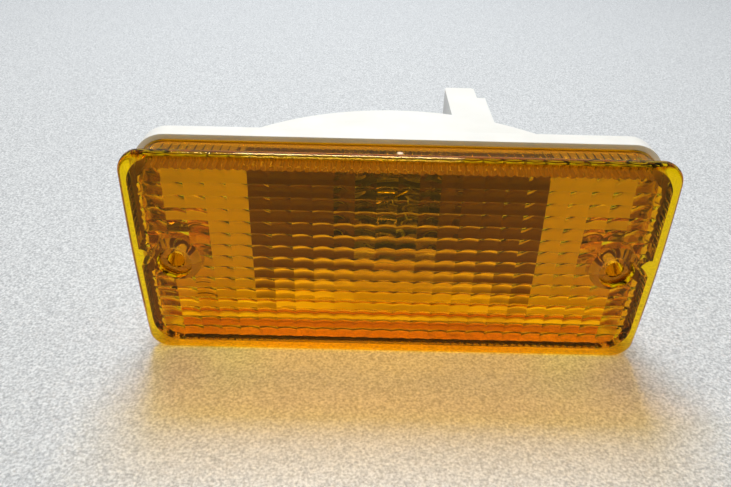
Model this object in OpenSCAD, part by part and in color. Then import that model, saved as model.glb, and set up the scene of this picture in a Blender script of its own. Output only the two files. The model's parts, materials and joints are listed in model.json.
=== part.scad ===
// Front turn signal lamp: an amber fluted lens on a white housing, with a
// twist-lock bulb holder and a bayonet bulb. Stands upright on its long lower edge.
// X runs across the lamp, +Y runs from the lens to the back, +Z is up.
// The origin is midway between the two screw holes, level with the front of
// the lens flange at its top and bottom edges.

/* [Lens] */
// Width of the lens flange
lens_w = 151.2; // [148:0.2:154]
// Height of the lens flange
lens_h = 67.6; // [67:0.2:70]
// Corner radius of the lens flange
lens_r = 6; // [5:0.5:7]
// Thickness of the lens face
face_t = 2.8; // [2.4:0.1:3.2]
// How far the face bulges forward at mid height
face_bow = 1.8; // [1:0.1:2.4]
// Step from the long edges of the flange in to the wall
wall_inset = 2.4; // [2:0.1:2.8]
// Step from the short edges of the flange in to the wall
wall_inset_end = 1.6; // [1.5:0.1:2.4]
// Thickness of the side wall
wall_t = 2.6; // [2:0.1:2.8]
// How far back the side wall reaches
wall_back = 15.4; // [15:0.1:15.8]

/* [Screw holes] */
// Distance between the two screw holes
screw_spacing = 127; // [125:0.5:128]
// Radius of a screw hole
screw_r = 2.3; // [2:0.1:2.6]
// Outer radius of a lens boss
boss_r = 7.3; // [6.8:0.1:7.6]
// Radius of the recess for a screw head
recess_r = 4.9; // [4.5:0.1:5.2]
// Depth of the recess floor behind the flange edge
recess_floor = 0; // [0:0.1:1]

/* [Housing] */
// How far the rim stands out past the flange at each side
rim_over = 0.2; // [0:0.1:0.4]
// How far the rim stays inside the flange at its top and bottom
rim_under = 0.5; // [0.3:0.1:0.6]
// Thickness of the rim lip
lip_t = 1.5; // [1.3:0.1:1.7]
// Front of the rim
rim_front = 13.5; // [13:0.1:14]
// Front of the floor behind the lens wall
pan_floor = 17.5; // [17.3:0.1:17.8]
// Back of the shallow pan
pan_back = 19.5; // [19.3:0.1:20]
// Wall thickness of the bowl
bowl_t = 1.8; // [1.6:0.1:2.2]
// Half height of the bowl
bowl_rise = 31.3; // [31:0.1:31.6]
// Radius of the bowl's curved back, seen from above
bowl_r = 59.4; // [57:0.2:62]
// Deepest point of the bowl
bowl_back = 40.2; // [40:0.1:40.6]

/* [Locating tab] */
// Left side of the tab
tab_x = 17.2; // [16:0.2:19]
// Width of the tab
tab_w = 9.9; // [9:0.1:11]
// Back end of the tab
tab_back = 62.4; // [58:0.2:66]
// Thickness of the tab's webs
tab_t = 2.4; // [2:0.1:2.8]
// Height of the tab's webs
tab_drop = 9.5; // [8:0.1:11]
// Back end of the side rib
rib_back = 53; // [50:0.5:56]

/* [Bulb holder] */
// Radius of the hole that takes the holder
hole_r = 14.2; // [14.2:0.1:14.6]
// Back face of the pad round the hole
pad_back = 42; // [41.8:0.1:42.2]
// Outer radius of the pad
pad_r = 20; // [19.6:0.1:20.4]
// Radius that the holder's lugs reach
lug_r = 16.4; // [16:0.1:16.6]
// Turn from locked to free
lock_turn = 45; // [40:1:50]

/* [Bulb] */
// Largest radius of the glass
glass_r = 13.2; // [12.5:0.1:13.2]
// Radius of the metal cap
cap_r = 7.6; // [7.5:0.05:7.6]
// Depth of the bayonet pins
pin_y = 50; // [49.8:0.1:50.2]
// Push needed to free the pins
push = 2; // [1.5:0.1:2]

/* [Hidden] */
$fn = 96;

slack = 0.05;
eps = 0.01;

// Lens
face_radius = pow(lens_h / 2, 2) / (2 * face_bow) + face_bow / 2;
wall_w = lens_w - 2 * wall_inset_end;
wall_h = lens_h - 2 * wall_inset;
wall_r = 8;
room_w = wall_w - 2 * wall_t;
room_h = wall_h - 2 * wall_t;
room_r = wall_r - wall_t;
screw_x = screw_spacing / 2;
boss_back = 14;
seal_back = 14.9;
notch_r = 2.8;
notch_skin = 2.4;
gate_r = 0.9;
gate_y = 8;

// Housing
rim_w = lens_w + 2 * rim_over;
rim_h = lens_h - 2 * rim_under;
rim_r = 10;
pan_w = rim_w - 2 * lip_t;
pan_h = rim_h - 2 * lip_t;
pan_r = rim_r - lip_t;
guide_gap = 0.6;
guide_t = 1.2;
guide_front = 13.9;
post_r = 4.2;
screw_pad_back = 23;
screw_pad_r = 7;
bowl_axis_y = bowl_back - bowl_r;
brace_root = 1;
brace_x = sqrt(pow(bowl_r, 2) - pow(screw_pad_back - bowl_axis_y, 2)) - brace_root;
tab_top = bowl_rise;
tab_root = 30;
tab_corner = 1.4;
pad_root = 32;
pad_wall = 2.5;
pad_front = pad_back - pad_wall;
pad_room_r = pad_r - 2.2;
key_r = lug_r + 0.4;
key_angle = 36;
key_starts = [90, 210, 330];
stop_angle = 5;
brace_z = 12;
brace_t = 1.8;
vent_x = -58;
vent_z = -20;
vent_w = 9;
vent_h = 6;
vent_wall = 1.2;
vent_back = 24;

// Bulb holder, placed from the pad and the pins
lug_angle = 28;
lug_front = pad_front - 1.8;
seal_t = 1.2;
flange_front = pad_back + seal_t;
flange_back = flange_front + 2.2;
flange_r = 19;
neck_r = hole_r - 0.1;
neck_room_r = 12.7;
barrel_r = 11.5;
shell_in_r = cap_r + 0.1;
shell_t = 0.6;
shell_front = flange_front + 0.4;
bore_r = 9;
tip_back = pin_y + 10.7;
button_t = 1;
disc_t = 1.6;
spring_front = tip_back + button_t + disc_t;
spring_len = 4.6;
base_front = spring_front + spring_len + 0.6;
base_back = base_front + 2.6;
foot_t = 0.6;
leaf_t = 0.6;
blade_w = 6.3;
blade_t = 0.8;
blade_x = 5;
blade_back = base_back + 6.6;
shroud_back = base_back + 8;
shroud_w = 18.4;
shroud_h = 12.4;
shroud_wall = 1.4;
wing_reach = 16.5;
wing_t = 3;
slot_w = 2.4;
slot_turn = 28;
slot_sweep = 10;
slot_mid = pin_y + push;
slot_back = slot_mid + slot_w / 2;
spring_r = 3.5;
wire_r = 0.35;
spring_turns = 4;

// Bulb
pin_r = 1;
pin_reach = 8.5;
glass_tip = pin_y - 41.8;
glass_wall = 0.7;
glass_axis_y = glass_tip + glass_r;
neck_y = pin_y - 10.5;
neck_glass_r = 7.15;
cap_front = pin_y - 8.5;
cap_back = pin_y + 8.2;
cap_t = 0.4;
insulator_back = pin_y + 9.6;
filament_y = pin_y - 31.8;
stem_front = pin_y - 22;
lead_x = 4.6;
stem_gap = 1.2;

// ---------- shared shapes ----------

module rounded(w, h, r) {
    square([w - 2 * r, h], center = true);
    square([w, h - 2 * r], center = true);
    for (sx = [-1, 1], sz = [-1, 1])
        translate([sx * (w / 2 - r), sz * (h / 2 - r)]) circle(r = r);
}

// A rounded plate that faces along Y
module slab(w, h, r, y0, y1) {
    translate([0, y1, 0]) rotate([90, 0, 0]) linear_extrude(y1 - y0) rounded(w, h, r);
}

// A round bar along Y, with its seam on a diagonal, clear of slots along X and Z
module rod(r, y0, y1) {
    translate([0, y0, 0]) rotate([-90, 0, 0]) rotate(45) cylinder(r = r, h = y1 - y0);
}

// A ring along Y
module ring(r_in, r_out, y0, y1) {
    difference() {
        rod(r_out, y0, y1);
        rod(r_in, y0 - 1, y1 + 1);
    }
}

// A slice of a disc along Y, from one angle to another
module sector(r, a0, a1, y0, y1) {
    steps = 6;
    fan = [for (i = [0 : steps]) let (a = a0 + (a1 - a0) * i / steps) 2 * r * [cos(a), sin(a)]];
    intersection() {
        rod(r, y0, y1);
        translate([0, y1 + 1, 0]) rotate([90, 0, 0])
            linear_extrude(y1 - y0 + 2) polygon(concat([[0, 0]], fan));
    }
}

// A box between two corners
module block(low, high) {
    translate(low) cube(high - low);
}

// Everything behind the curved front of the face
module behind_face(r) {
    translate([0, face_radius - face_bow, 0]) rotate([0, 90, 0])
        cylinder(r = r, h = 2 * lens_w, center = true, $fn = 240);
}

module at_screws() {
    for (side = [-1, 1]) translate([side * screw_x, 0, 0]) children();
}

// ---------- lens ----------

module lens_cover() {
    color([0.95, 0.58, 0.04, 0.7])
    difference() {
        union() {
            difference() {
                union() {
                    intersection() {
                        slab(lens_w, lens_h, lens_r, -face_bow - 1, face_t);
                        behind_face(face_radius);
                    }
                    slab(wall_w, wall_h, wall_r, 1, wall_back);
                }
                intersection() {
                    slab(room_w, room_h, room_r, -face_bow - 1, wall_back + 1);
                    behind_face(face_radius - face_t);
                }
            }
            intersection() {
                at_screws() rod(boss_r, -face_bow - 1, boss_back);
                behind_face(face_radius);
            }
            for (side = [-1, 1])
                intersection() {
                    translate([side * wall_w / 2, 0, 0]) rod(notch_r + notch_skin, 1, wall_back);
                    slab(wall_w, wall_h, wall_r, 1, wall_back);
                }
            translate([0, gate_y, wall_h / 2 - 0.3]) cylinder(r = gate_r, h = 0.7);
        }
        at_screws() {
            rod(recess_r, -face_bow - 1, recess_floor);
            rod(screw_r, recess_floor - 1, boss_back + 1);
        }
        for (side = [-1, 1])
            translate([side * wall_w / 2, 0, 0]) rod(notch_r, face_t, wall_back + 1);
    }
}

module screw_hole_seals() {
    color([0.1, 0.1, 0.1])
    at_screws() ring(screw_r + 0.3, post_r - 0.2, boss_back, seal_back - slack);
}

// ---------- housing ----------

// The part of an upright drum that stands behind the front of the pan's floor
module bowl(inset) {
    rise = bowl_rise - inset;
    translate([0, 0, -rise]) linear_extrude(2 * rise)
        intersection() {
            translate([0, bowl_axis_y]) circle(r = bowl_r - inset, $fn = 180);
            translate([-bowl_r, pan_floor - 1]) square([2 * bowl_r, bowl_back]);
        }
}

// Top plate, left web and a longer right web that ends early
module locating_tab() {
    right = tab_x + tab_w;
    translate([0, 0, tab_top - tab_t]) linear_extrude(tab_t)
        translate([tab_x + tab_w / 2, (tab_root + tab_back) / 2])
            rounded(tab_w, tab_back - tab_root, tab_corner);
    block([tab_x, tab_root, tab_top - tab_drop], [tab_x + tab_t, tab_back - tab_corner, tab_top]);
    block([right - tab_t, tab_root, tab_top - tab_drop], [right, tab_back - tab_corner, tab_top]);
    block([right, tab_root - 3, tab_top - tab_drop - 2], [right + tab_t + 0.2, rib_back, tab_top]);
}

module vent_pocket(grow, y1) {
    block([vent_x - vent_w / 2 - grow, pan_back - 1, vent_z - vent_h / 2 - grow],
          [vent_x + vent_w / 2 + grow, y1, vent_z + vent_h / 2 + grow]);
}

module housing() {
    guide_w = room_w - 2 * guide_gap;
    guide_h = room_h - 2 * guide_gap;
    guide_r = room_r - guide_gap / 2;
    color([0.96, 0.96, 0.94])
    difference() {
        union() {
            difference() {
                union() {
                    slab(rim_w, rim_h, rim_r, rim_front, pan_back);
                    bowl(0);
                    rod(pad_r, pad_root, pad_back);
                    at_screws() rod(screw_pad_r, pan_floor, screw_pad_back);
                    locating_tab();
                    vent_pocket(vent_wall, vent_back);
                    for (side = [-1, 1], up = [-1, 1])
                        translate([side * (brace_x + screw_x) / 2, (pan_floor + screw_pad_back) / 2,
                                   up * brace_z / 2])
                            cube([screw_x - brace_x, screw_pad_back - pan_floor, brace_t],
                                 center = true);
                }
                slab(pan_w, pan_h, pan_r, rim_front - 1, pan_floor);
                bowl(bowl_t);
                rod(pad_room_r, pan_back, pad_front);
                vent_pocket(0, vent_back - vent_wall);
                // Slots of the vent, through the pan and through the pocket's back
                for (dz = [-1.6, 1.6])
                    block([vent_x - 3, pan_floor - 1, vent_z + dz - 0.6],
                          [vent_x + 3, vent_back + 1, vent_z + dz + 0.6]);
            }
            // Guide rib inside the lens wall, open beside the screw bosses
            difference() {
                slab(guide_w, guide_h, guide_r, guide_front, pan_floor + 0.5);
                slab(guide_w - 2 * guide_t, guide_h - 2 * guide_t, guide_r - guide_t / 2,
                     guide_front - 1, pan_floor + 1);
                for (side = [-1, 1])
                    translate([side * guide_w / 2, 0, 0])
                        cube([4 * boss_r, 2 * pan_back, 2.4 * boss_r], center = true);
                bowl(bowl_t);
            }
            at_screws() rod(post_r, seal_back, pan_floor + 1);
            // Stops for the holder's lugs
            for (a = key_starts)
                intersection() {
                    sector(pad_room_r + 0.5, a + lock_turn + lug_angle / 2 + 2,
                           a + lock_turn + lug_angle / 2 + 2 + stop_angle,
                           lug_front, pad_front + 0.5);
                    ring(neck_r + 0.6, pad_room_r + 0.5, lug_front, pad_front + 0.5);
                }
        }
        at_screws() rod(screw_r, 0, screw_pad_back + 1);
        rod(hole_r, pad_front - 1, pad_back + 1);
        for (a = key_starts)
            sector(key_r, a - key_angle / 2, a + key_angle / 2, pad_front - 1, pad_back + 1);
    }
}

module lens_gasket() {
    color([0.08, 0.08, 0.08])
    difference() {
        slab(pan_w - 2 * slack, pan_h - 2 * slack, pan_r - slack, wall_back + slack, pan_floor);
        slab(room_w - 0.8, room_h - 0.8, room_r - 0.2, wall_back - 1, pan_floor + 1);
    }
}

module vent_foam() {
    color([0.2, 0.2, 0.2])
    block([vent_x - vent_w / 2 + slack, pan_back - 1 + slack, vent_z - vent_h / 2 + slack],
          [vent_x + vent_w / 2 - slack, vent_back - vent_wall - slack,
           vent_z + vent_h / 2 - slack]);
}

// ---------- bulb holder ----------

// Flat parts of the two terminals that lie on the holder's base
module live_leaf(grow) {
    rod(4.2 + grow, base_front - grow / 4, base_front + leaf_t);
    block([-blade_x - blade_t / 2 - grow, base_front - grow / 4, -blade_w / 2 - grow],
          [-3, base_front + leaf_t, blade_w / 2 + grow]);
}

module ground_leaf(grow) {
    block([blade_x - blade_t / 2 - grow, base_front - grow / 4, -blade_w / 2 - grow],
          [bore_r - 0.7 + grow, base_front + leaf_t, blade_w / 2 + grow]);
}

module blade(side, grow) {
    block([side * blade_x - blade_t / 2 - grow, base_front, -blade_w / 2 - grow],
          [side * blade_x + blade_t / 2 + grow, blade_back, blade_w / 2 + grow]);
}

module holder_body() {
    color([0.25, 0.25, 0.27])
    difference() {
        union() {
            rod(neck_r, lug_front, flange_front + eps);
            rod(flange_r, flange_front, flange_back);
            rod(barrel_r, flange_back - eps, base_back);
            slab(shroud_w, shroud_h, 2, base_back - eps, shroud_back);
            for (a = key_starts)
                sector(lug_r, a + lock_turn - lug_angle / 2, a + lock_turn + lug_angle / 2,
                       lug_front, pad_front - 0.1);
            block([-wing_reach, flange_back - eps, -wing_t / 2],
                  [wing_reach, base_back - 4, wing_t / 2]);
        }
        rod(neck_room_r, lug_front - 1, flange_front - 0.2);
        rod(bore_r, flange_front - 1, base_front);
        slab(shroud_w - 2 * shroud_wall, shroud_h - 2 * shroud_wall, 1, base_back, shroud_back + 1);
        live_leaf(slack);
        ground_leaf(slack);
        for (side = [-1, 1]) blade(side, slack);
    }
}

module holder_seal() {
    color([0.07, 0.07, 0.07])
    ring(neck_r + 0.1, flange_r - 0.5, pad_back + slack, flange_front);
}

module socket_shell() {
    color([0.75, 0.76, 0.78])
    difference() {
        union() {
            ring(shell_in_r, shell_in_r + shell_t, shell_front, base_front);
            ring(shell_in_r, bore_r - slack, base_front - foot_t, base_front);
            ring(shell_in_r, bore_r - slack, shell_front, shell_front + foot_t);
        }
        // Way in, cross slot and the notch that holds the pin
        for (turn = [0, 180]) rotate([0, turn, 0]) {
            rotate([0, -slot_turn, 0])
                block([0, shell_front - 1, -slot_w / 2], [2 * bore_r, slot_mid, slot_w / 2]);
            sector(2 * bore_r, -slot_sweep, slot_turn + slot_sweep, slot_back - slot_w, slot_back);
            block([0, pin_y - slot_w / 2, -slot_w / 2], [2 * bore_r, slot_mid, slot_w / 2]);
        }
    }
}

module live_terminal() {
    color([0.85, 0.66, 0.3])
    union() {
        live_leaf(0);
        blade(-1, 0);
    }
}

module ground_terminal() {
    color([0.85, 0.66, 0.3])
    union() {
        ground_leaf(0);
        blade(1, 0);
    }
}

// A coil along Y, swept with a ring of points at each step
module contact_spring() {
    sides = 8;
    steps = 24 * spring_turns;
    y0 = spring_front + wire_r + slack;
    y1 = base_front - wire_r - slack;
    rings = [
        for (i = [0 : steps])
            let (a = 360 * spring_turns * i / steps, y = y0 + (y1 - y0) * i / steps)
            for (k = [0 : sides - 1])
                let (b = 360 * k / sides, r = spring_r + wire_r * cos(b))
                [r * cos(a), y + wire_r * sin(b), r * sin(a)]
    ];
    walls = [
        for (i = [0 : steps - 1])
            for (k = [0 : sides - 1])
                let (n = (k + 1) % sides)
                [i * sides + k, i * sides + n, (i + 1) * sides + n, (i + 1) * sides + k]
    ];
    first = [for (k = [0 : sides - 1]) sides - 1 - k];
    last = [for (k = [0 : sides - 1]) steps * sides + k];
    color([0.7, 0.7, 0.72])
    polyhedron(points = rings, faces = concat(walls, [first, last]));
}

module contact_plunger() {
    color([0.45, 0.25, 0.12])
    difference() {
        rod(shell_in_r - 0.1, tip_back + button_t, spring_front);
        rod(1.5, tip_back, spring_front + 1);
    }
}

module plunger_button() {
    color([0.85, 0.66, 0.3])
    union() {
        rod(2.6, tip_back, tip_back + button_t);
        rod(1.5, tip_back + button_t - eps, spring_front);
    }
}

// ---------- bulb ----------

// Half outline of the glass: a round head that tapers to the neck
function glass_outline(thin) =
    let (head = [for (a = [0 : 8 : 104]) [(glass_r - thin) * sin(a), glass_axis_y - (glass_r - thin) * cos(a)]],
         from = head[len(head) - 1],
         taper = [for (i = [1 : 8]) let (t = i / 8, s = t * t * (3 - 2 * t), u = (s + t) / 2)
                  [from[0] + (neck_glass_r - thin - from[0]) * u, from[1] + (neck_y - from[1]) * t]])
    concat(head, taper);

module bulb_glass() {
    outer = glass_outline(0);
    inner = glass_outline(glass_wall);
    end_y = cap_front + 4;
    profile = concat(outer, [[neck_glass_r, end_y], [neck_glass_r - glass_wall, end_y]],
                     [for (i = [len(inner) - 1 : -1 : 0]) inner[i]]);
    color([0.85, 0.9, 0.92, 0.3])
    rotate([-90, 0, 0]) rotate_extrude() polygon(profile);
}

module bulb_cap() {
    color([0.8, 0.72, 0.45])
    union() {
        ring(cap_r - cap_t, cap_r, cap_front, cap_back);
        ring(3.6, cap_r - cap_t + eps, cap_back - cap_t, cap_back);
    }
}

module bayonet_pins() {
    color([0.8, 0.72, 0.45])
    for (side = [0, 180])
        rotate([0, side, 0]) translate([cap_r, pin_y, 0]) rotate([0, 90, 0])
            cylinder(r = pin_r, h = pin_reach - cap_r);
}

module bulb_stem() {
    color([0.8, 0.86, 0.88, 0.4])
    union() {
        rod(neck_glass_r - glass_wall - slack, cap_front + 2, cap_front + 4);
        rod(2.4, stem_front + 4, cap_front + 2 + eps);
        block([-lead_x + stem_gap, stem_front, -1.2], [lead_x - stem_gap, stem_front + 5, 1.2]);
    }
}

module support_wires() {
    color([0.6, 0.6, 0.62])
    for (side = [0, 1]) mirror([side, 0, 0]) {
        translate([lead_x, 0, 0]) rod(0.3, filament_y - 0.4, stem_front + 3);
        block([lead_x - stem_gap, stem_front + 2.4, -0.3], [lead_x + 0.3, stem_front + 3, 0.3]);
    }
}

module filament() {
    color([0.35, 0.35, 0.38])
    translate([-lead_x + 0.3, filament_y, 0]) rotate([0, 90, 0])
        cylinder(r = 0.35, h = 2 * lead_x - 0.6, $fn = 24);
}

module cap_insulator() {
    color([0.06, 0.06, 0.07])
    union() {
        rod(3.6 - slack, cap_back - cap_t, cap_back + eps);
        rotate([-90, 0, 0]) rotate_extrude()
            polygon([[0, cap_back], [cap_r - 1.2, cap_back], [4.2, insulator_back], [0, insulator_back]]);
    }
}

module tip_contact() {
    color([0.72, 0.72, 0.7])
    rotate([-90, 0, 0]) rotate_extrude()
        polygon(concat([[0, insulator_back]],
                       [for (a = [0 : 15 : 90])
                           [2.4 * cos(a), insulator_back + (tip_back - insulator_back) * sin(a)]]));
}

lens_cover();
screw_hole_seals();
housing();
lens_gasket();
vent_foam();
holder_body();
holder_seal();
socket_shell();
live_terminal();
ground_terminal();
contact_spring();
contact_plunger();
plunger_button();
bulb_glass();
bulb_cap();
bayonet_pins();
bulb_stem();
support_wires();
filament();
cap_insulator();
tip_contact();
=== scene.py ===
import json
import math

import bmesh
import bpy
import numpy as np
from mathutils import Matrix, Vector
from mathutils.geometry import delaunay_2d_cdt

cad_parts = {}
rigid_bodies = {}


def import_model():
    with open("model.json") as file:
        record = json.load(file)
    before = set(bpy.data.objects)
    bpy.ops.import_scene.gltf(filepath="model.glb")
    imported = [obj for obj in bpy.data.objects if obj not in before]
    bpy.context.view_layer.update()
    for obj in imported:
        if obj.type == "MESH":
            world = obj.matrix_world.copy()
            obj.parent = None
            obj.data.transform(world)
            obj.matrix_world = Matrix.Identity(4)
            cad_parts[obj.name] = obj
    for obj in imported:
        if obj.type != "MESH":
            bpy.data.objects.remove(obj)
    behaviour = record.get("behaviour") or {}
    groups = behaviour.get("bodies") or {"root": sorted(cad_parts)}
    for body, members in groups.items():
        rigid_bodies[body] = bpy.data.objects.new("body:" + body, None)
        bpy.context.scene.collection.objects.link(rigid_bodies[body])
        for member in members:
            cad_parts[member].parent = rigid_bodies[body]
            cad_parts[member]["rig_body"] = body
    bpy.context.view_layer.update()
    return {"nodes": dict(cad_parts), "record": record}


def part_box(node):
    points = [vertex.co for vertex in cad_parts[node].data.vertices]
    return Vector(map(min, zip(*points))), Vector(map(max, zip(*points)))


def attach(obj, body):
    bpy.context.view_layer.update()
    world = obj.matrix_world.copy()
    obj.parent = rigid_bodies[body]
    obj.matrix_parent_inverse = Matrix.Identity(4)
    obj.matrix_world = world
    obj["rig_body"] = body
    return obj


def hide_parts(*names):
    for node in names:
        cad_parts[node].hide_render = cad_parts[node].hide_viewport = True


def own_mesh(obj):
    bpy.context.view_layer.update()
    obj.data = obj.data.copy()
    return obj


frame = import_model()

MM = 0.001
scene = bpy.context.scene


# ---------------------------------------------------------------- helpers
def mm_box(node):
    low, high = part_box(node)
    return low / MM, high / MM


def new_mesh(name, verts, faces, smooth_angle=30.0):
    """A mesh object from points in millimetres."""
    me = bpy.data.meshes.new(name)
    me.from_pydata([tuple(c * MM for c in v) for v in verts], [], faces)
    me.validate()
    me.update()
    me.shade_smooth()
    me.set_sharp_from_angle(angle=math.radians(smooth_angle))
    obj = bpy.data.objects.new(name, me)
    scene.collection.objects.link(obj)
    return obj


def outward(obj):
    bm = bmesh.new()
    bm.from_mesh(obj.data)
    bmesh.ops.recalc_face_normals(bm, faces=bm.faces)
    if bm.calc_volume(signed=True) < 0:
        bmesh.ops.reverse_faces(bm, faces=bm.faces)
    bm.to_mesh(obj.data)
    bm.free()
    obj.data.update()


def tree_of(name):
    mat = bpy.data.materials.new(name)
    mat.use_nodes = True
    nodes, links = mat.node_tree.nodes, mat.node_tree.links
    return mat, nodes, links, nodes["Principled BSDF"]


def object_coords(nodes):
    return nodes.new("ShaderNodeTexCoord").outputs["Object"]


def noise(nodes, links, scale, detail=3.0, rough=0.5):
    n = nodes.new("ShaderNodeTexNoise")
    n.inputs["Scale"].default_value = scale
    n.inputs["Detail"].default_value = detail
    n.inputs["Roughness"].default_value = rough
    links.new(object_coords(nodes), n.inputs["Vector"])
    return n.outputs["Fac"]


def spread(nodes, links, value, low, high):
    """Maps a 0..1 pattern on to a range."""
    m = nodes.new("ShaderNodeMapRange")
    m.inputs["From Min"].default_value = 0.3
    m.inputs["From Max"].default_value = 0.7
    m.inputs["To Min"].default_value = low
    m.inputs["To Max"].default_value = high
    links.new(value, m.inputs["Value"])
    return m.outputs["Result"]


def tint(nodes, links, value, dark, light):
    ramp = nodes.new("ShaderNodeValToRGB")
    ramp.color_ramp.elements[0].position = 0.3
    ramp.color_ramp.elements[1].position = 0.7
    ramp.color_ramp.elements[0].color = (*dark, 1)
    ramp.color_ramp.elements[1].color = (*light, 1)
    links.new(value, ramp.inputs["Fac"])
    return ramp.outputs["Color"]


def bump(nodes, links, value, bsdf, strength, distance):
    b = nodes.new("ShaderNodeBump")
    b.inputs["Strength"].default_value = strength
    b.inputs["Distance"].default_value = distance
    links.new(value, b.inputs["Height"])
    links.new(b.outputs["Normal"], bsdf.inputs["Normal"])


def surface(name, dark, light, rough, metal=0.0, grain=900.0, relief=0.00002, blotch=60.0, spec=0.5):
    """A moulded or rolled surface: blotchy tone, varied roughness and a fine grain. grain and
    blotch are patterns to the metre, relief is in metres."""
    mat, nodes, links, bsdf = tree_of(name)
    wide = noise(nodes, links, blotch, 4.0)
    fine = noise(nodes, links, grain, 2.0)
    links.new(tint(nodes, links, wide, dark, light), bsdf.inputs["Base Color"])
    links.new(spread(nodes, links, fine, rough[0], rough[1]), bsdf.inputs["Roughness"])
    bsdf.inputs["Metallic"].default_value = metal
    bsdf.inputs["Specular IOR Level"].default_value = spec
    bump(nodes, links, fine, bsdf, 0.4, relief)
    return mat


def pass_shadows(mat, colour):
    """Lets direct light through a clear or translucent wall, tinted at each of its two faces."""
    nodes, links = mat.node_tree.nodes, mat.node_tree.links
    through = nodes.new("ShaderNodeBsdfTransparent")
    through.inputs["Color"].default_value = (*colour, 1)
    mix = nodes.new("ShaderNodeMixShader")
    path = nodes.new("ShaderNodeLightPath")
    links.new(path.outputs["Is Shadow Ray"], mix.inputs["Fac"])
    links.new(nodes["Principled BSDF"].outputs["BSDF"], mix.inputs[1])
    links.new(through.outputs["BSDF"], mix.inputs[2])
    links.new(mix.outputs["Shader"], nodes["Material Output"].inputs["Surface"])


# ---------------------------------------------------------------- materials
AMBER_TINT = (0.94, 0.60, 0.001)
AMBER_SHEEN = (1.0, 0.72, 0.22, 1)
WHITE_LETS_THROUGH = (0.66, 0.66, 0.64)
# Brown tint on direct light let through the bowl walls that carry painted shade
DARK_BOWL_LETS_THROUGH = (0.70, 0.50, 0.30)
WHITE_GRAIN = 1400.0


def amber_plastic():
    """Clear amber acrylic. Shadow rays pass it tinted, so that light reaches what is inside."""
    mat, nodes, links, bsdf = tree_of("amber_acrylic")
    bsdf.inputs["Base Color"].default_value = (*AMBER_TINT, 1)
    bsdf.inputs["Roughness"].default_value = 0.03
    bsdf.inputs["IOR"].default_value = 1.49
    bsdf.inputs["Specular Tint"].default_value = AMBER_SHEEN
    bsdf.inputs["Transmission Weight"].default_value = 1.0
    pass_shadows(mat, [math.sqrt(c) for c in AMBER_TINT])
    return mat


def clear_glass():
    mat, nodes, links, bsdf = tree_of("bulb_glass_clear")
    bsdf.inputs["Base Color"].default_value = (0.97, 0.99, 0.99, 1)
    bsdf.inputs["Roughness"].default_value = 0.01
    bsdf.inputs["IOR"].default_value = 1.5
    bsdf.inputs["Transmission Weight"].default_value = 1.0
    pass_shadows(mat, (1, 1, 1))
    return mat


def white_plastic():
    mat = surface("white_moulding", (0.80, 0.79, 0.75), (0.88, 0.87, 0.84), (0.32, 0.46), grain=WHITE_GRAIN)
    bsdf = mat.node_tree.nodes["Principled BSDF"]
    bsdf.inputs["Subsurface Weight"].default_value = 0.25
    bsdf.inputs["Subsurface Radius"].default_value = (1.0, 0.9, 0.8)
    bsdf.inputs["Subsurface Scale"].default_value = 0.0015
    pass_shadows(mat, WHITE_LETS_THROUGH)
    return mat


def height_ramp(nodes, links, low, high):
    """0 below one height of the object and 1 above another, in metres."""
    split = nodes.new("ShaderNodeSeparateXYZ")
    links.new(object_coords(nodes), split.inputs["Vector"])
    level = nodes.new("ShaderNodeMapRange")
    level.inputs["From Min"].default_value = low
    level.inputs["From Max"].default_value = high
    links.new(split.outputs["Z"], level.inputs["Value"])
    return level.outputs["Result"]


def gasket_with_painted_light_top():
    """Brown foam with its top run painted lighter: painted light, standing for the daylight that reaches it
    through the lens.
    """
    brown = ((0.15, 0.085, 0.03), (0.25, 0.155, 0.06))
    # Lighter colours for the top run: painted light from the daylight through the lens
    painted_light_top = ((0.66, 0.46, 0.22), (0.84, 0.64, 0.36))
    mat = surface("gasket_foam_brown", *brown, (0.7, 0.9), grain=1800.0, relief=0.0001)
    nodes, links = mat.node_tree.nodes, mat.node_tree.links
    base = nodes["Principled BSDF"].inputs["Base Color"]
    mix = nodes.new("ShaderNodeMix")
    mix.data_type = "RGBA"
    factor, colour_a, colour_b, result = mix.inputs[0], mix.inputs[6], mix.inputs[7], mix.outputs[2]
    # Painted light: above this height the foam takes the lighter colours
    links.new(height_ramp(nodes, links, 0.024, 0.0295), factor)
    links.new(base.links[0].from_socket, colour_a)
    links.new(tint(nodes, links, noise(nodes, links, 220.0, 3.0), *painted_light_top), colour_b)
    links.new(result, base)
    return mat


def rubber(name, dark, light, rough, grain=1500.0, relief=0.00002):
    return surface(name, dark, light, rough, grain=grain, relief=relief)


def metal(name, dark, light, rough, grain=1800.0, relief=0.000008):
    return surface(name, dark, light, rough, 1.0, grain=grain, relief=relief)


AMBER = amber_plastic()
GLASS = clear_glass()
WHITE = white_plastic()
RUBBER = rubber("seal_rubber_black", (0.012, 0.012, 0.012), (0.03, 0.03, 0.03), (0.6, 0.8))
SEAL = rubber("seal_rubber_natural", (0.42, 0.30, 0.15), (0.55, 0.41, 0.22), (0.45, 0.6))
GASKET = gasket_with_painted_light_top()
FOAM = rubber("filter_foam_grey", (0.03, 0.03, 0.03), (0.12, 0.12, 0.12), (0.9, 1.0), 2200.0, 0.0003)
NYLON = surface("holder_nylon_grey", (0.045, 0.045, 0.05), (0.07, 0.07, 0.075), (0.4, 0.6), grain=1300.0)
STEEL = metal("plated_steel", (0.55, 0.56, 0.58), (0.70, 0.71, 0.73), (0.2, 0.38))
BRASS = metal("brass_strip", (0.60, 0.42, 0.16), (0.76, 0.56, 0.25), (0.22, 0.4))
FIBRE = surface("fibre_disc", (0.10, 0.045, 0.02), (0.18, 0.08, 0.035), (0.6, 0.8), grain=1500.0)
CAP = metal("cap_metal", (0.62, 0.52, 0.30), (0.78, 0.68, 0.42), (0.2, 0.36), 1700.0)
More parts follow.
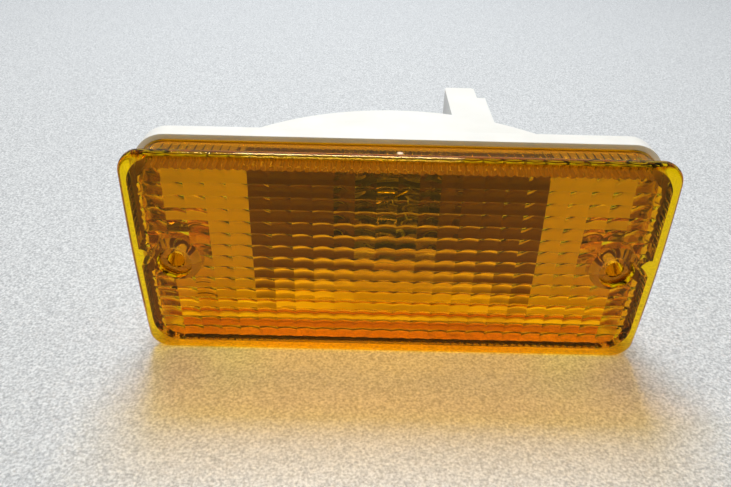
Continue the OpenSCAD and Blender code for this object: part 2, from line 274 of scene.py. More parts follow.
TUNGSTEN = metal("tungsten_wire", (0.20, 0.20, 0.22), (0.34, 0.34, 0.36), (0.35, 0.5), 2500.0, 0.000004)
BLACK_GLASS = surface("black_vitrite", (0.01, 0.01, 0.012), (0.02, 0.02, 0.024), (0.08, 0.2))
SOLDER = metal("solder_blob", (0.50, 0.50, 0.50), (0.66, 0.66, 0.65), (0.25, 0.45), 900.0, 0.00002)


def give(obj, mat, body, slot, *nodes):
    obj.data.materials.clear()
    obj.data.materials.append(mat)
    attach(obj, body)
    if nodes:
        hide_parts(*nodes)
    return obj


# ---------------------------------------------------------------- lens
LENS_LOW, LENS_HIGH = mm_box("lens_cover")
LENS_W = LENS_HIGH.x - LENS_LOW.x
LENS_H = LENS_HIGH.z - LENS_LOW.z
BOW = -LENS_LOW.y
WALL_BACK = LENS_HIGH.y
SCREWS = next(m for m in frame["record"]["mounts"] if m["name"] == "screw_holes")
SCREW_X = SCREWS["dims"]["spacing_x_mm"] / 2
SCREW_R = SCREWS["dims"]["hole_r_mm"]
# Wall thicknesses, radii and steps of the moulding
FACE_T = 2.8
FACE_R = (LENS_H / 2) ** 2 / (2 * BOW) + BOW / 2
AXIS_Y = FACE_R - BOW
INSET = 2.4
END_INSET = 1.6
WALL_T = 2.6
FLANGE_R = 6.0
WALL_R = 8.0
EDGE = 1.6
BOSS_R = 7.3
RECESS_R = 4.9
FLOOR_Y = 0.0
BOSS_BACK = 14.0
# Optics inside it, and the raised or sunk marks
FLUTE_RISE = 0.42
LOW_FLUTES = 0.35
MARK_BEVEL = 0.12
MARK_DEPTH = 0.50
PILLOW_X = 5.83
PILLOW_Z = 3.80
PILLOW_ZERO = -0.4
PILLOW_RX = 7.6
PILLOW_RZ = 3.9
# Notch beside each screw, and the lines where bump and boss meet
NOTCH_R = 2.8
NOTCH_SKIN = 2.4
WALL_W, WALL_H = LENS_W - 2 * END_INSET, LENS_H - 2 * INSET
ROOM_W, ROOM_H, ROOM_R = WALL_W - 2 * WALL_T, WALL_H - 2 * WALL_T, WALL_R - WALL_T
BUMP_R = NOTCH_R + NOTCH_SKIN
BUMP_Z = math.sqrt(BUMP_R**2 - WALL_T**2)
APART = WALL_W / 2 - SCREW_X
MEET_X = (APART**2 + BOSS_R**2 - BUMP_R**2) / (2 * APART)
MEET_Z = math.sqrt(BOSS_R**2 - MEET_X**2)


def face_y(z):
    return AXIS_Y - math.sqrt(FACE_R**2 - z * z)


def room_y(z):
    return AXIS_Y - math.sqrt((FACE_R - FACE_T) ** 2 - z * z)


def on_face(x, z):
    return face_y(z)


def pillow_y(x, z):
    """Inside of the face: one shallow bulge in each cell of the grid."""
    u = (x - PILLOW_ZERO) / PILLOW_X
    v = z / PILLOW_Z + 0.5
    u = (u - math.floor(u) - 0.5) * PILLOW_X
    v = (v - math.floor(v) - 0.5) * PILLOW_Z
    top = PILLOW_X**2 / (8 * PILLOW_RX) + PILLOW_Z**2 / (8 * PILLOW_RZ)
    return room_y(z) + top - u * u / (2 * PILLOW_RX) - v * v / (2 * PILLOW_RZ)


FLUTE_STEPS = 6
LONG_FLUTES, END_FLUTES, CORNER_FLUTES = 56, 8, 3


def end_heights(sz):
    """Heights along a short side, from its top corner to its bottom corner: fluted part, then
    the lead-in to the notch, then the notch, and back."""
    half = [sz - (sz - BUMP_Z) * i / (END_FLUTES * FLUTE_STEPS) for i in range(END_FLUTES * FLUTE_STEPS)]
    lead = [BUMP_Z - (BUMP_Z - MEET_Z) * i / 3 for i in range(3)]
    notch = [MEET_Z, (MEET_Z + NOTCH_R) / 2]
    notch += [NOTCH_R * math.sin(math.radians(90 - 180 * i / 16)) for i in range(17)]
    notch += [-(MEET_Z + NOTCH_R) / 2, -MEET_Z]
    return half, lead, notch


def step_in(kind, z):
    if kind == "notch":
        return math.sqrt(max(NOTCH_R**2 - z * z, 0.0))
    if kind in ("bump", "boss"):
        return max(math.sqrt(max(BUMP_R**2 - z * z, 0.0)) - WALL_T, 0.0)
    return 0.0


def outline(w, h, r, kind="straight", flute=0.0):
    """Points round a rounded rectangle, anticlockwise from the right. The short sides are
    straight, or have the outer notch, or the inner bump behind it, or that and the screw boss.
    Returns the points, and for each short side where its notch or boss starts and ends."""
    sx, sz = w / 2 - r, h / 2 - r
    pts, marks = [], []

    def put(x, z, nx, nz, phase, share=1.0):
        d = flute * share * abs(math.sin(math.pi * phase)) if flute else 0.0
        pts.append((x - nx * d, z - nz * d))

    for k, (cx, cz, start) in enumerate([(1, 1, 0), (-1, 1, 90), (-1, -1, 180), (1, -1, 270)]):
        n = CORNER_FLUTES * FLUTE_STEPS
        for i in range(n):
            a = math.radians(start + 90 * i / n)
            nx, nz = math.cos(a), math.sin(a)
            put(cx * sx + r * nx, cz * sz + r * nz, nx, nz, i / FLUTE_STEPS)
        if k in (0, 2):
            n = LONG_FLUTES * FLUTE_STEPS
            share = 1.0 if cz > 0 else LOW_FLUTES
            for i in range(n):
                put(cx * sx * (1 - 2 * i / n), cz * h / 2, 0, cz, i / FLUTE_STEPS, share)
            continue
        half, lead, notch = end_heights(sz)
        flip = 1 if k == 1 else -1
        for i, z in enumerate(half):
            put(cx * w / 2, flip * z, cx, 0, i / FLUTE_STEPS)
        for z in lead:
            put(cx * (w / 2 - step_in(kind, z)), flip * z, cx, 0, 0)
        first = len(pts)
        if kind == "boss":
            m = 60
            a0 = math.atan2(MEET_Z, MEET_X)
            for i in range(m + 1):
                a = a0 + (2 * math.pi - 2 * a0) * i / m
                put(cx * (SCREW_X + BOSS_R * math.cos(a)), flip * BOSS_R * math.sin(a), cx, 0, 0)
        else:
            for z in notch:
                put(cx * (w / 2 - step_in(kind, z)), flip * z, cx, 0, 0)
        marks.append((first, len(pts) - 1))
        for z in reversed(lead):
            put(cx * (w / 2 - step_in(kind, z)), -flip * z, cx, 0, 0)
        for i, z in enumerate(reversed(half[1:])):
            put(cx * w / 2, -flip * z, cx, 0, (i + 1) / FLUTE_STEPS)
    return pts, marks


class Shell:
    """Collects the points and faces of one closed mesh."""

    def __init__(self):
        self.v, self.f = [], []

    def ring(self, pts, y):
        first = len(self.v)
        for x, z in pts:
            self.v.append((x, y(x, z) if callable(y) else y, z))
        return list(range(first, len(self.v)))

    def chain(self, rings):
        for a, b in zip(rings[:-1], rings[1:]):
            for i in range(len(a)):
                j = (i + 1) % len(a)
                self.f.append((a[i], a[j], b[j], b[i]))

    def fill(self, outer, holes, extra, y, lines=()):
        """Triangulates inside the outer loop and outside the holes, through extra points and
        along extra closed lines. Loops hold indices of points already there."""
        flat, back, edges = [], [], []
        for loop in [outer, *holes, *lines]:
            start = len(flat)
            for i in loop:
                flat.append(Vector((self.v[i][0], self.v[i][2])))
                back.append(i)
            n = len(loop)
            edges += [(start + k, start + (k + 1) % n) for k in range(n)]
        count = len(flat)
        flat += [Vector(p) for p in extra]
        pts, _, tris, orig, _, _ = delaunay_2d_cdt(flat, edges, [], 0, 1e-5)
        mine = []
        for k, p in enumerate(pts):
            src = [o for o in orig[k] if o < count]
            if src:
                mine.append(back[src[0]])
            else:
                self.v.append((p.x, y(p.x, p.y), p.y))
                mine.append(len(self.v) - 1)
        rim = [(self.v[i][0], self.v[i][2]) for i in outer]
        gaps = [[(self.v[i][0], self.v[i][2]) for i in loop] for loop in holes]
        for t in tris:
            c = sum((pts[k] for k in t), Vector((0, 0))) / len(t)
            if inside(rim, c) and not any(inside(g, c) for g in gaps):
                self.f.append(tuple(mine[k] for k in t))


def inside(poly, p):
    hit = False
    x, z = p
    j = len(poly) - 1
    for i in range(len(poly)):
        xi, zi = poly[i]
        xj, zj = poly[j]
        if (zi > z) != (zj > z) and x < (xj - xi) * (z - zi) / (zj - zi) + xi:
            hit = not hit
        j = i
    return hit


def circle(cx, cz, r, n=72):
    angles = [2 * math.pi * i / n for i in range(n)]
    return [(cx + r * math.cos(a), cz + r * math.sin(a)) for a in angles]


def offset_poly(poly, d):
    """A simple anticlockwise polygon moved in by d."""
    out = []
    n = len(poly)
    for i in range(n):
        p0, p1, p2 = (Vector(poly[(i + k - 1) % n]) for k in range(3))
        a, b = (p1 - p0).normalized(), (p2 - p1).normalized()
        na, nb = Vector((-a.y, a.x)), Vector((-b.y, b.x))
        m = (na + nb) / max(1 + na.dot(nb), 0.2)
        out.append(tuple(p1 + m * d))
    return out


def flange(e):
    return outline(LENS_W - 2 * e, LENS_H - 2 * e, FLANGE_R - e)[0]


def wall(e, kind="notch"):
    return outline(WALL_W - 2 * e, WALL_H - 2 * e, WALL_R - e, kind)[0]


def room(kind, e=0.0, flute=0.0):
    return outline(ROOM_W - 2 * e, ROOM_H - 2 * e, ROOM_R - e, kind, flute)


def face_marks():
    """A plain moulded arrow and a row of short bars, as closed polygons on the face."""
    ax, az = -2.0, 24.6
    arrow = [(-4.0, -0.6), (0.6, -0.6), (0.6, -2.1), (4.2, 0.0), (0.6, 2.1), (0.6, 0.6), (-4.0, 0.6)]
    marks = [[(ax + x, az + z) for x, z in arrow]]
    for k in range(5):
        x, z = -7.5 + 4.2 * k, -29.4
        marks.append([(x, z - 0.9), (x + 0.6, z - 0.9), (x + 0.6, z + 0.9), (x, z + 0.9)])
    return marks


def near_mark(marks, x, z):
    return any(
        min(p[0] for p in m) - 0.3 < x < max(p[0] for p in m) + 0.3
        and min(p[1] for p in m) - 0.3 < z < max(p[1] for p in m) + 0.3
        for m in marks
    )


def past_corner(x, z, w, h, r, margin):
    cx, cz = abs(x) - (w / 2 - r), abs(z) - (h / 2 - r)
    if abs(x) > w / 2 - margin or abs(z) > h / 2 - margin:
        return True
    return cx > 0 and cz > 0 and math.hypot(cx, cz) > r - margin


def build_lens():
    s = Shell()
    rings = []
    for k in range(9):
        a = math.radians(90 * k / 8)
        lift = EDGE * (1 - math.cos(a))
        rings.append(s.ring(flange(EDGE * (1 - math.sin(a))), lambda x, z, lift=lift: face_y(z) + lift))
    front = rings[0]
    rings.append(s.ring(flange(0), FACE_T - 0.3))
    rings.append(s.ring(flange(0.09), FACE_T - 0.09))
    rings.append(s.ring(flange(0.3), FACE_T))
    rings.append(s.ring(wall(-0.3), FACE_T))
    rings.append(s.ring(wall(-0.08), FACE_T + 0.08))
    rings.append(s.ring(wall(0), FACE_T + 0.3))
    rings.append(s.ring(wall(0), WALL_BACK - 0.25))
    rings.append(s.ring(wall(0.25), WALL_BACK))
    rings.append(s.ring(room("bump", -0.2)[0], WALL_BACK))
    rings.append(s.ring(room("bump")[0], WALL_BACK - 0.25))
    low, low_marks = room("bump")
    high, high_marks = room("boss")
    bossed = s.ring(high, BOSS_BACK)
    plain = []
    at = 0
    ends = []
    for (l0, l1), (h0, h1) in zip(low_marks, high_marks):
        plain += bossed[at : h0 + 1]
        arc = s.ring(low[l0 + 1 : l1], BOSS_BACK)
        plain += arc
        ends.append((bossed[h0 : h1 + 1], arc))
        at = h1
    plain += bossed[at:]
    rings.append(plain)
    s.chain(rings)
    fluted = room("boss", 0, FLUTE_RISE)[0]
    inner = [bossed, s.ring(high, BOSS_BACK - 0.3), s.ring(fluted, BOSS_BACK - 0.9)]
    inner += [s.ring(fluted, 6.5), s.ring(fluted, pillow_y)]
    s.chain(inner)

    mouths = []
    for side, (arc, bump) in zip((-1, 1), ends):
        cx = side * SCREW_X
        hole = [
            s.ring(circle(cx, 0, RECESS_R + 0.35), on_face),
            s.ring(circle(cx, 0, RECESS_R + 0.1), lambda x, z: face_y(z) + 0.1),
            s.ring(circle(cx, 0, RECESS_R), lambda x, z: face_y(z) + 0.35),
            s.ring(circle(cx, 0, RECESS_R), FLOOR_Y - 0.2),
            s.ring(circle(cx, 0, RECESS_R - 0.2), FLOOR_Y),
            s.ring(circle(cx, 0, SCREW_R + 0.3), FLOOR_Y),
            s.ring(circle(cx, 0, SCREW_R), FLOOR_Y + 0.3),
            s.ring(circle(cx, 0, SCREW_R), BOSS_BACK - 0.2),
            s.ring(circle(cx, 0, SCREW_R + 0.2), BOSS_BACK),
        ]
        s.chain(hole)
        mouths.append(hole[0])
        s.fill(arc + list(reversed(bump)), [hole[-1]], [], lambda x, z: BOSS_BACK)

    marks = face_marks()
    lines = []
    for m in marks:
        lines.append(s.ring(m, on_face))
        lines.append(s.ring(offset_poly(m, MARK_BEVEL), lambda x, z: face_y(z) + MARK_DEPTH))
    grid = []
    for i in range(-18, 19):
        for j in range(-22, 23):
            x, z = i * 4.0, j * 1.5
            if past_corner(x, z, LENS_W, LENS_H, FLANGE_R, EDGE + 0.7) or near_mark(marks, x, z):
                continue
            if math.hypot(abs(x) - SCREW_X, z) > RECESS_R + 1.2:
                grid.append((x, z))
    s.fill(front, mouths, grid, on_face, lines)

    grid = []
    nx, nz = 6, 5
    margin = FLUTE_RISE + 0.12
    for i in range(-13 * nx, 14 * nx):
        for j in range(-8 * nz, 9 * nz):
            x, z = PILLOW_ZERO + PILLOW_X * i / nx, PILLOW_Z * (j / nz - 0.5)
            if past_corner(x, z, ROOM_W, ROOM_H, ROOM_R, margin):
                continue
            in_boss = math.hypot(abs(x) - SCREW_X, z) < BOSS_R + 0.15
            in_bump = math.hypot(abs(x) - WALL_W / 2, z) < BUMP_R + 0.3
            if in_boss or in_bump:
                continue
            grid.append((x, z))
    s.fill(inner[-1], [], grid, pillow_y)

    obj = new_mesh("lens_amber", s.v, s.f, 28.0)
    outward(obj)
    obj.data.set_sharp_from_angle(angle=math.radians(28.0))
    return obj


give(build_lens(), AMBER, "lens", "amber_lens", "lens_cover")


def gate_stub():
    """The whitened stump of the moulding gate on top of the lens wall."""
    s = Shell()
    top = WALL_H / 2
    rings = []
    torn = ((0.95, -0.12, 1.0), (0.9, 0.16, 1.0), (0.78, 0.3, 0.95), (0.5, 0.36, 0.8), (0.16, 0.30, 0.6))
    for r, lift, squeeze in torn:
        first = len(s.v)
        for i in range(28):
            a = 2 * math.pi * i / 28
            wobble = 1 + 0.07 * math.sin(3 * a + 1.0) + 0.05 * math.sin(5 * a)
            s.v.append((r * wobble * math.cos(a), 8.0 + r * squeeze * wobble * math.sin(a), top + lift))
        rings.append(list(range(first, len(s.v))))
    s.chain(rings)
    s.f.append(tuple(rings[0]))
    s.f.append(tuple(rings[-1]))
    obj = new_mesh("lens_gate_stub", s.v, s.f, 40.0)
    outward(obj)
    return obj


TORN = ((0.75, 0.46, 0.20), (0.95, 0.72, 0.46))
GATE = surface("torn_acrylic", *TORN, (0.4, 0.6), grain=1600.0, relief=0.00004, blotch=900.0)
give(gate_stub(), GATE, "lens", "amber_lens", "lens_cover")


# ---------------------------------------------------------------- CAD parts, dressed
def dressed(node, name, mat, slot, bevel=0.25, segments=2, angle=32.0):
    """A welded copy of a CAD solid with its edges eased, standing for that solid."""
    src = frame["nodes"][node]
    me = src.data.copy()
    me.name = name
    bm = bmesh.new()
    bm.from_mesh(me)
    bmesh.ops.remove_doubles(bm, verts=bm.verts, dist=2e-6)
    bmesh.ops.dissolve_limit(bm, angle_limit=math.radians(0.6), verts=bm.verts, edges=bm.edges)
    bm.to_mesh(me)
    bm.free()
    me.shade_smooth()
    me.set_sharp_from_angle(angle=math.radians(angle))
    obj = bpy.data.objects.new(name, me)
    scene.collection.objects.link(obj)
    if bevel:
        mod = obj.modifiers.new("eased_edges", "BEVEL")
        mod.width = bevel * MM
        mod.segments = segments
        mod.limit_method = "ANGLE"
        mod.angle_limit = math.radians(angle)
        mod.use_clamp_overlap = True
        mod.harden_normals = True
    return give(obj, mat, src["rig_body"], slot, node)


# The bowl's outer drum about an upright axis, its wall, and the bore of the pad behind it
BOWL_R = 59.4
BOWL_T = 1.8
BOWL_BACK = 40.2
BOWL_RISE = 31.3
PAD_ROOM_R = 17.8


def painted_shade_white():
    """The white moulding with painted shade: dark brown on the bowl's inside above its floor, white on the
    floor where the light falls.
    """
    mat, nodes, links, bsdf = tree_of("white_moulding_painted_shade")
    ramp = nodes.new("ShaderNodeValToRGB")
    # Painted shade: white on the bowl's floor, dark brown on its walls above the floor
    ramp.color_ramp.elements[0].color = (0.84, 0.82, 0.77, 1)
    ramp.color_ramp.elements[1].color = (0.175, 0.085, 0.035, 1)
    links.new(height_ramp(nodes, links, -0.028, -0.019), ramp.inputs["Fac"])
    links.new(ramp.outputs["Color"], bsdf.inputs["Base Color"])
    fine = noise(nodes, links, WHITE_GRAIN, 2.0)
    links.new(spread(nodes, links, fine, 0.4, 0.55), bsdf.inputs["Roughness"])
    bump(nodes, links, fine, bsdf, 0.4, 0.00002)
    pass_shadows(mat, DARK_BOWL_LETS_THROUGH)
    return mat


def paint_bowl_shade(obj):
    """Gives the faces inside the bowl, and inside the pad behind it, the material with painted shade."""
    pan_floor = mm_box("lens_gasket")[1].y
    pad_back = mm_box("holder_seal")[0].y
    axis_y = BOWL_BACK - BOWL_R

    def in_bowl(v):
        round_room = math.hypot(v.x, v.y - axis_y) < BOWL_R - BOWL_T + 0.1
        return round_room and v.y > pan_floor - 0.1 and abs(v.z) < BOWL_RISE - BOWL_T + 0.1

    def in_pad(v):
        return math.hypot(v.x, v.z) < PAD_ROOM_R + 0.1 and pan_floor < v.y < pad_back - 0.5

    me = obj.data
    me.materials.append(painted_shade_white())
    for poly in me.polygons:
        corners = [me.vertices[i].co / MM for i in poly.vertices]
        if all(in_bowl(v) or in_pad(v) for v in corners):
            poly.material_index = 1


housing = dressed("housing", "housing_white", WHITE, "white_plastic", 0.3, 3)
paint_bowl_shade(housing)
dressed("lens_gasket", "gasket_foam", GASKET, "seal_rubber", 0.3)
dressed("screw_hole_seals", "hole_seals_rubber", SEAL, "seal_rubber", 0.15)
dressed("vent_foam", "vent_filter", FOAM, "filter_foam", 0.25)
dressed("holder_body", "holder_nylon", NYLON, "holder_nylon", 0.2)
dressed("holder_seal", "holder_seal_ring", RUBBER, "seal_rubber", 0.2)
dressed("socket_shell", "socket_sleeve", STEEL, "plated_steel", 0.08)
dressed("live_terminal", "terminal_live", BRASS, "brass", 0.1)
dressed("ground_terminal", "terminal_ground", BRASS, "brass", 0.1)
dressed("contact_plunger", "plunger_disc", FIBRE, "fibre", 0.12)
dressed("plunger_button", "plunger_contact", BRASS, "brass", 0.15)
dressed("bayonet_pins", "cap_pins", CAP, "cap_metal", 0.15)
dressed("cap_insulator", "cap_vitrite", BLACK_GLASS, "black_glass", 0.15)
dressed("tip_contact", "cap_solder", SOLDER, "solder", 0.1)


# ---------------------------------------------------------------- turned, drawn and wound parts
def lathe(name, profile, mat, slot, node, segments=96, smooth_angle=35.0):
    """A body turned about the lamp's axis from a closed outline of (radius, depth) points."""
    verts, faces = [], []
    n = len(profile)
    for i in range(segments):
        a = 2 * math.pi * i / segments
        verts += [(r * math.cos(a), y, r * math.sin(a)) for r, y in profile]
    for i in range(segments):
        j = (i + 1) % segments
        for k in range(n):
            m = (k + 1) % n
            faces.append((i * n + k, i * n + m, j * n + m, j * n + k))
    obj = new_mesh(name, verts, faces, smooth_angle)
    outward(obj)
    return give(obj, mat, frame["nodes"][node]["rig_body"], slot, node)


def tube(path, radius, sides=12):
    """Points and faces of a round wire with closed ends along a path."""
    verts, faces = [], []
    pts = [Vector(p) for p in path]
    side = None
    for i, p in enumerate(pts):
        ahead = (pts[min(i + 1, len(pts) - 1)] - pts[max(i - 1, 0)]).normalized()
        if side is None:
            side = ahead.orthogonal().normalized()
        side = (side - ahead * side.dot(ahead)).normalized()
        across = ahead.cross(side)
        for k in range(sides):
            a = 2 * math.pi * k / sides
            verts.append(tuple(p + (side * math.cos(a) + across * math.sin(a)) * radius))
    for i in range(len(pts) - 1):
        for k in range(sides):
            m = (k + 1) % sides
            faces.append((i * sides + k, i * sides + m, (i + 1) * sides + m, (i + 1) * sides + k))
    faces.append(tuple(range(sides - 1, -1, -1)))
    last = (len(pts) - 1) * sides
    faces.append(tuple(range(last, last + sides)))
    return verts, faces


def wires(name, paths, radius, mat, slot, node, sides=12):
    verts, faces = [], []
    for path in paths:
        v, f = tube(path, radius, sides)
        faces += [tuple(i + len(verts) for i in face) for face in f]
        verts += v
    obj = new_mesh(name, verts, faces, 50.0)
    outward(obj)
    return give(obj, mat, frame["nodes"][node]["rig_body"], slot, node)


def bulb_outline(glass_r, tip_y, neck_r, neck_y, end_y, steps=30):
    """Half outline of the glass: a round head that flows into the neck."""
    axis_y = tip_y + glass_r
    head = [math.radians(104 * i / steps) for i in range(steps + 1)]
    pts = [(max(glass_r * math.sin(a), 0.001), axis_y - glass_r * math.cos(a)) for a in head]
    r0, y0 = pts[-1]
    for i in range(1, steps + 1):
        t = i / steps
        ease = (t * t * (3 - 2 * t) + t) / 2
        pts.append((r0 + (neck_r - r0) * ease, y0 + (neck_y - y0) * t))
    pts.append((neck_r, end_y))
    return pts


GLASS_LOW, GLASS_HIGH = mm_box("bulb_glass")
CAP_LOW, CAP_HIGH = mm_box("bulb_cap")
COIL_LOW, COIL_HIGH = mm_box("filament")
WIRE_LOW, WIRE_HIGH = mm_box("support_wires")
STEM_LOW, STEM_HIGH = mm_box("bulb_stem")
GLASS_R = GLASS_HIGH.x
NECK_R = 7.15
GLASS_WALL = 0.7
NECK_Y = CAP_LOW.y - 2
FILAMENT_Y = (COIL_LOW.y + COIL_HIGH.y) / 2
LEAD_X = 4.6
FILAMENT_TURNS = 38


def envelope():
    t = GLASS_WALL
    outer = bulb_outline(GLASS_R, GLASS_LOW.y, NECK_R, NECK_Y, GLASS_HIGH.y)
    inner = bulb_outline(GLASS_R - t, GLASS_LOW.y + t, NECK_R - t, NECK_Y, GLASS_HIGH.y)
    lathe("bulb_envelope", outer + inner[::-1], GLASS, "bulb_glass", "bulb_glass")


def cap_shell():
    """Drawn metal cap: a rolled lip at the glass, a shallow groove, and a folded end."""
    r, lip, t = CAP_HIGH.x, 0.45, 0.4
    front, back = CAP_LOW.y, CAP_HIGH.y
    end = 0.7
    quarter = [math.radians(15 * i) for i in range(7)]
    out = [(r - lip + lip * math.cos(a), front + lip - lip * math.sin(a)) for a in reversed(quarter)]
    groove = ((0, 1.1), (0.12, 1.35), (0.24, 1.7), (0.24, 2.1), (0.12, 2.45), (0, 2.7))
    out += [(r - sunk, front + y) for sunk, y in groove]
    out += [(r, back - 0.8)]
    out += [(r - end + end * math.cos(a), back - end + end * math.sin(a)) for a in quarter]
    out += [(3.9, back), (3.6, back - 0.1), (3.6, back - t), (r - 0.9, back - t), (r - t, back - 0.95)]
    out += [(r - t, front + 3.0), (r - t - 0.04, front + 2.1), (r - t, front + 1.2), (r - t, front + 0.45)]
    lathe("cap_shell", out, CAP, "cap_metal", "bulb_cap", 96, 50.0)


def coil_path(start, turns, radius, along, steps_a_turn=14):
    """Points on a helix about a straight axis that runs across the lamp."""
    n = turns * steps_a_turn
    pts = []
    for i in range(n + 1):
        t = i / n
        a = 2 * math.pi * turns * t
        c = start + along * t
        pts.append((c.x, c.y + radius * math.cos(a), c.z + radius * math.sin(a)))
    return pts


def filament_coil():
    wire = 0.06
    radius = (COIL_HIGH.y - COIL_LOW.y) / 2 - wire
    start = Vector((COIL_LOW.x + wire, FILAMENT_Y, 0))
    along = Vector((COIL_HIGH.x - COIL_LOW.x - 2 * wire, 0, 0))
    path = coil_path(start, FILAMENT_TURNS, radius, along)
    wires("filament_coil", [path], wire, TUNGSTEN, "tungsten", "filament", 8)


def lead_wires():
    r = 0.28
    paths = []
    for side in (-1, 1):
        foot_y = WIRE_HIGH.y - 0.3
        path = [(side * (LEAD_X - 1.15), foot_y, 0)]
        bend = 0.55
        for i in range(7):
            a = math.radians(90 * i / 6)
            path.append((side * (LEAD_X - bend + bend * math.sin(a)), foot_y - bend + bend * math.cos(a), 0))
        path += [(side * LEAD_X, y, 0) for y in (foot_y - 3, FILAMENT_Y + 0.9, WIRE_LOW.y + 0.1)]
        paths.append(path)
    wires("lead_wires", paths, r, STEEL, "plated_steel", "support_wires")


def stem_glass():
    """Glass tube from the cap, pressed flat at its front round the two wires."""
    front, back = STEM_LOW.y, STEM_HIGH.y
    # Depth, half width, half height, and how square the section is (2 is an ellipse)
    pinch = [
        (front + 0.02, 2.2, 0.7, 3.5),
        (front + 0.15, 3.0, 1.0, 3.5),
        (front + 0.6, 3.35, 1.18, 3.5),
        (front + 3.6, 3.38, 1.2, 3.2),
        (front + 4.6, 3.0, 1.6, 2.6),
        (front + 5.8, 2.5, 2.2, 2.1),
        (front + 7.5, 2.4, 2.4, 2.0),
    ]
    flare = ((3.2, 2.4), (2.4, 2.9), (1.95, 4.4), (1.8, 6.1), (1.5, 6.38), (0.05, 6.38))
    stations = pinch + [(back - y, r, r, 2.0) for y, r in flare]
    n = 48
    verts, faces = [], []
    for y, half_x, half_z, power in stations:
        for k in range(n):
            a = 2 * math.pi * k / n
            c, q = math.cos(a), math.sin(a)
            x = half_x * math.copysign(abs(c) ** (2 / power), c)
            z = half_z * math.copysign(abs(q) ** (2 / power), q)
            verts.append((x, y, z))
    for i in range(len(stations) - 1):
        for k in range(n):
            m = (k + 1) % n
            faces.append((i * n + k, i * n + m, (i + 1) * n + m, (i + 1) * n + k))
    faces.append(tuple(range(n)))
    faces.append(tuple(range((len(stations) - 1) * n, len(stations) * n)))
    obj = new_mesh("stem_glass", verts, faces, 40.0)
    outward(obj)
    give(obj, GLASS, frame["nodes"]["bulb_stem"]["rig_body"], "bulb_glass", "bulb_stem")


def spring_coil():
    """Compression spring with its end turns closed up."""
    low, high = mm_box("contact_spring")
    wire = 0.35
    radius = high.x - wire
    n = 220
    turns = 5.0
    flat = 0.85
    y0, y1 = low.y + wire, high.y - wire
    path = []
    for i in range(n + 1):
        t = turns * i / n
        u = min(max((t - flat) / (turns - 2 * flat), 0.0), 1.0)
        lead = wire * 1.9
        y = y0 + lead * min(t / flat, 1.0) * (1 if t < turns / 2 else 0)
        if t >= flat:
            y = y0 + lead + (y1 - y0 - 2 * lead) * u
        if t > turns - flat:
            y = y1 - lead + lead * (t - turns + flat) / flat
        a = 2 * math.pi * t
        path.append((radius * math.cos(a), y, radius * math.sin(a)))
    obj = wires("spring_coil", [path], wire, STEEL, "plated_steel", "contact_spring", 12)
    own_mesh(obj)


envelope()
cap_shell()
filament_coil()
lead_wires()
stem_glass()
spring_coil()

# ---------------------------------------------------------------- room
FLOOR_Z = LENS_LOW.z
FLOOR_REACH = 3000.0
LIGHT_AWAY = 1.2


def pale_floor():
    speckle = ((0.36, 0.37, 0.385), (0.78, 0.79, 0.80))
    mat = surface(
        "floor_pale_grey", *speckle, (0.5, 0.62), grain=1800.0, relief=0.00005, blotch=1350.0, spec=0.4
    )
    steps = (-FLOOR_REACH, 0.0, FLOOR_REACH)
    verts = [(x, y, FLOOR_Z) for y in steps for x in steps]
    n = len(steps)
    faces = []
    for j in range(n - 1):
        for i in range(n - 1):
            k = j * n + i
            faces.append((k, k + 1, k + n + 1, k + n))
    obj = new_mesh("floor", verts, faces)
    obj.data.materials.append(mat)


pale_floor()


def area_light(name, elevation, azimuth, size, power, colour):
    """A soft light aimed at the object. Azimuth 0 is behind it, 180 is on the camera's side."""
    data = bpy.data.lights.new(name, "AREA")
    data.shape = "RECTANGLE"
    data.size, data.size_y = size
    data.energy = power
    data.color = colour
    e, a = math.radians(elevation), math.radians(azimuth)
    at = Vector((-math.cos(e) * math.sin(a), math.cos(e) * math.cos(a), math.sin(e))) * LIGHT_AWAY
    obj = bpy.data.objects.new(name, data)
    obj.location = at
    obj.rotation_euler = (-at).to_track_quat("-Z", "Y").to_euler()
    scene.collection.objects.link(obj)


area_light("window_behind", 58, 4, (0.46, 0.44), 13.0, (0.90, 0.95, 1.0))
area_light("strip_behind", 62, 29, (0.26, 0.04), 1.5, (1.0, 0.98, 0.95))
area_light("lamp_front", 64, 176, (0.45, 0.35), 4.1, (1.0, 0.86, 0.60))


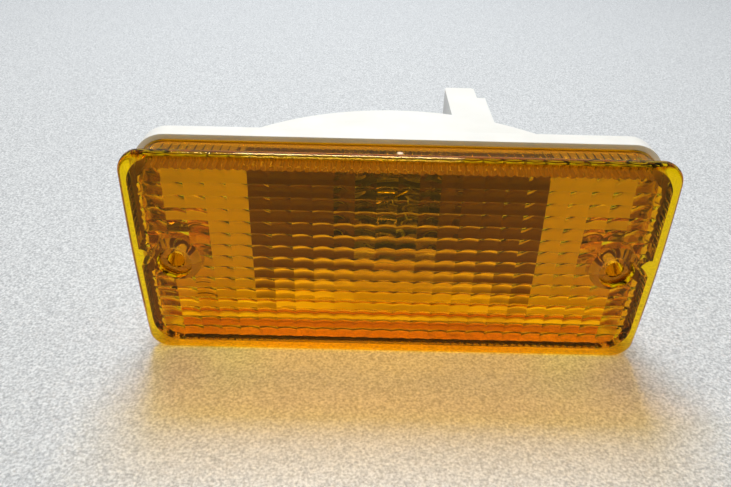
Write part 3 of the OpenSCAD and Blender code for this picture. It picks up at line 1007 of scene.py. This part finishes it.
def studio_air():
    """Soft light from all round, brighter behind and above than on the camera's side."""
    world = bpy.data.worlds.new("studio_air")
    world.use_nodes = True
    nodes, links = world.node_tree.nodes, world.node_tree.links
    coords = nodes.new("ShaderNodeTexCoord")
    along = nodes.new("ShaderNodeVectorMath")
    along.operation = "DOT_PRODUCT"
    along.inputs[1].default_value = (0.0, 0.8, 0.6)
    links.new(coords.outputs["Generated"], along.inputs[0])
    level = nodes.new("ShaderNodeMapRange")
    level.inputs["From Min"].default_value = -0.4
    level.inputs["From Max"].default_value = 1.0
    level.inputs["To Min"].default_value = 0.05
    level.inputs["To Max"].default_value = 0.30
    links.new(along.outputs["Value"], level.inputs["Value"])
    back = nodes["Background"]
    back.inputs["Color"].default_value = (0.95, 0.975, 1.0, 1)
    links.new(level.outputs["Result"], back.inputs["Strength"])
    scene.world = world


studio_air()

# ---------------------------------------------------------------- camera
PITCH, ROLL, YAW = math.radians(33.01), 0.025037, -0.003736
CAMERA_AT = (-9.457, -154.474, 107.532)
SENSOR_WIDTH, FOCAL_LENGTH = 36.0, 32.01


def aim_camera():
    sp, cp = math.sin(PITCH), math.cos(PITCH)
    cy, sy = math.cos(YAW), math.sin(YAW)
    cr, sr = math.cos(ROLL), math.sin(ROLL)
    level = np.array([[1, 0, 0], [0, sp, cp], [0, cp, -sp]])
    turn = np.array([[cy, sy, 0], [-sy, cy, 0], [0, 0, 1]])
    tilt = np.array([[cr, sr, 0], [-sr, cr, 0], [0, 0, 1]])
    rows = tilt @ level @ turn
    axes = np.array([rows[0], rows[1], -rows[2]]).T
    data = bpy.data.cameras.new("camera")
    data.sensor_width = SENSOR_WIDTH
    data.lens = FOCAL_LENGTH
    data.clip_start = 0.005
    data.clip_end = 20.0
    cam = bpy.data.objects.new("camera", data)
    m = Matrix(axes.tolist()).to_4x4()
    m.translation = Vector(CAMERA_AT) * MM
    cam.matrix_world = m
    scene.collection.objects.link(cam)
    scene.camera = cam


aim_camera()
scene.view_settings.view_transform = "Standard"
scene.cycles.max_bounces = 18
scene.cycles.transmission_bounces = 16
scene.cycles.transparent_max_bounces = 24
scene.cycles.diffuse_bounces = 5
